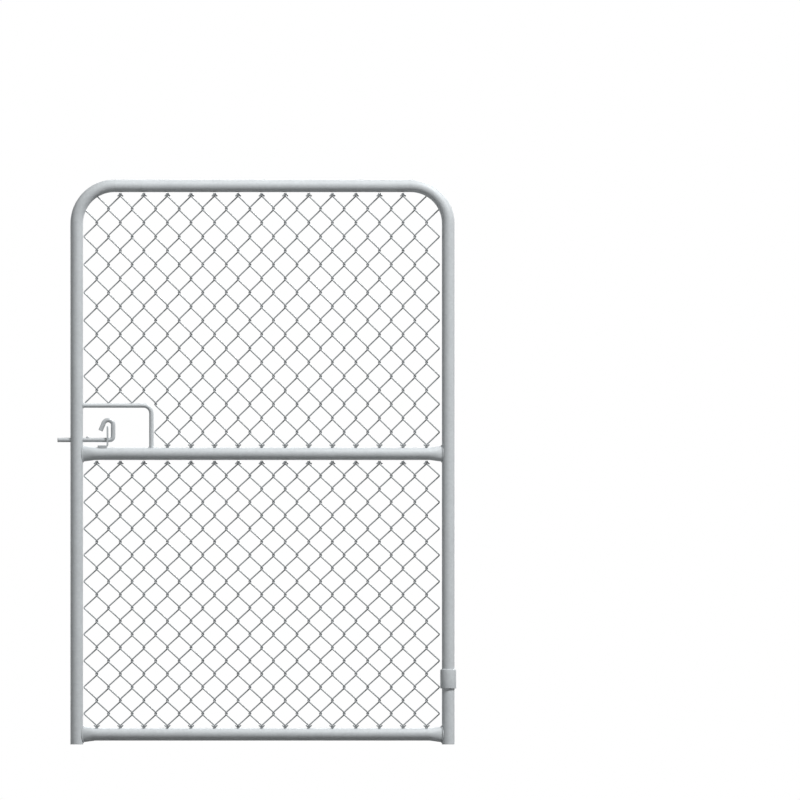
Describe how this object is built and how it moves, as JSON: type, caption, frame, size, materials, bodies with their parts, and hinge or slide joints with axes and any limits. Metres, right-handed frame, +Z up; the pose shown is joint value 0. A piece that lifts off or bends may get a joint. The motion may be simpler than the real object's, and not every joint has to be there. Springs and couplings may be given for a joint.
{
  "type": "chain-link gate",
  "caption": "Bent steel tube gate leaf with two cross rails, woven diamond wire mesh, a framed hand hole with a drop-over slide bolt and padlock tab, and a hinge collar.",
  "frame": {"origin": "on the hinge stile's axis at the underside of the hinge collar, where the gate bears on its hinge", "axes": "+Z up along the hinge stile; +X along the gate, from the latch stile towards the hinge stile; +Y towards the back of the gate"},
  "size_m": [1.0587, 0.0424, 1.5],
  "materials": {
    "frame_tube": "galvanised, satin",
    "bar": "galvanised, satin",
    "collar": "galvanised, satin",
    "plate": "galvanised, satin",
    "bolt_steel": "galvanised, satin",
    "mesh_wire": "galvanised wire, satin"
  },
  "bodies": {
    "leaf": {"latch_stile": "frame_tube", "hinge_stile": "frame_tube", "top_rail": "frame_tube", "latch_corner_bend": "frame_tube", "hinge_corner_bend": "frame_tube", "middle_rail": "frame_tube", "bottom_rail": "frame_tube", "hand_hole_bar": "bar", "padlock_tab": "plate", "hinge_collar": "collar", "upper_mesh_1": "mesh_wire", "upper_mesh_2": "mesh_wire", "upper_mesh_3": "mesh_wire", "upper_mesh_4": "mesh_wire", "upper_mesh_5": "mesh_wire", "lower_mesh_1": "mesh_wire", "lower_mesh_2": "mesh_wire", "lower_mesh_3": "mesh_wire", "lower_mesh_4": "mesh_wire", "lower_mesh_5": "mesh_wire"},
    "bolt": {"slide_bolt": "bolt_steel", "bolt_stop_pin": "bolt_steel"}
  },
  "joints": [
    {"name": "bolt_swivel", "type": "hinge", "parent": "leaf", "child": "bolt", "pos_m": [-0.9863, 0, 0.66], "axis": [1, 0, 0], "range_deg": [-120, 120]}
  ]
}
